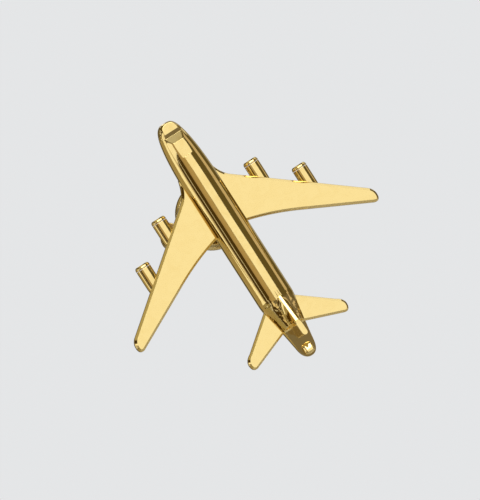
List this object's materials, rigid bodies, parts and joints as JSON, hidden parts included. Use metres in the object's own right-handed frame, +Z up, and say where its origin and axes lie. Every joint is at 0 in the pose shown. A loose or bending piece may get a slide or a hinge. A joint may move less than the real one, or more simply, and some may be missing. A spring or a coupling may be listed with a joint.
{
  "type": "airliner lapel pin",
  "caption": "Polished gold jetliner lapel pin seen from above, with swept wings, engine pods and fin, held by a rear post and a sliding butterfly clutch.",
  "frame": {"origin": "on the flat back of the body, on the axis of the post", "axes": "+Z up towards the nose, +X to the starboard wing tip, +Y along the post into the cloth, so the face looks along -Y"},
  "size_m": [0.034, 0.0143, 0.032],
  "materials": {
    "body_gold": "mirror polished gold plate",
    "plate_gold": "polished gold plate",
    "pod_gold": "polished gold plate",
    "clutch_brass": "bright tumbled brass",
    "post_steel": "drawn, nickel flashed",
    "spring_steel": "drawn spring wire"
  },
  "bodies": {
    "pin": {"fuselage": "body_gold", "tail_boss": "body_gold", "tail_fin": "body_gold", "starboard_wing": "plate_gold", "port_wing": "plate_gold", "starboard_tailplane": "plate_gold", "port_tailplane": "plate_gold", "port_inner_pod": "pod_gold", "port_outer_pod": "pod_gold", "starboard_inner_pod": "pod_gold", "starboard_outer_pod": "pod_gold", "port_inner_intake_ring": "pod_gold", "port_outer_intake_ring": "pod_gold", "starboard_inner_intake_ring": "pod_gold", "starboard_outer_intake_ring": "pod_gold", "post_pad": "post_steel", "post": "post_steel"},
    "clutch": {"clutch_base": "clutch_brass", "clutch_cap": "clutch_brass", "clutch_spring": "spring_steel"},
    "starboard_lever": {"starboard_ear": "clutch_brass"},
    "port_lever": {"port_ear": "clutch_brass"}
  },
  "joints": [
    {"name": "clutch_slide", "type": "slide", "parent": "pin", "child": "clutch", "axis": [0, 1, 0], "range_m": [0, 0.0075]},
    {"name": "starboard_ear_pinch", "type": "hinge", "parent": "clutch", "child": "starboard_lever", "pos_m": [0.0034, 0.00405, 0], "axis": [0, 0, 1], "range_deg": [0, 10], "stiffness_Nm_per_rad": 0.01},
    {"name": "port_ear_pinch", "type": "hinge", "parent": "clutch", "child": "port_lever", "pos_m": [-0.0034, 0.00405, 0], "axis": [0, 0, -1], "range_deg": [0, 10], "stiffness_Nm_per_rad": 0.01}
  ]
}
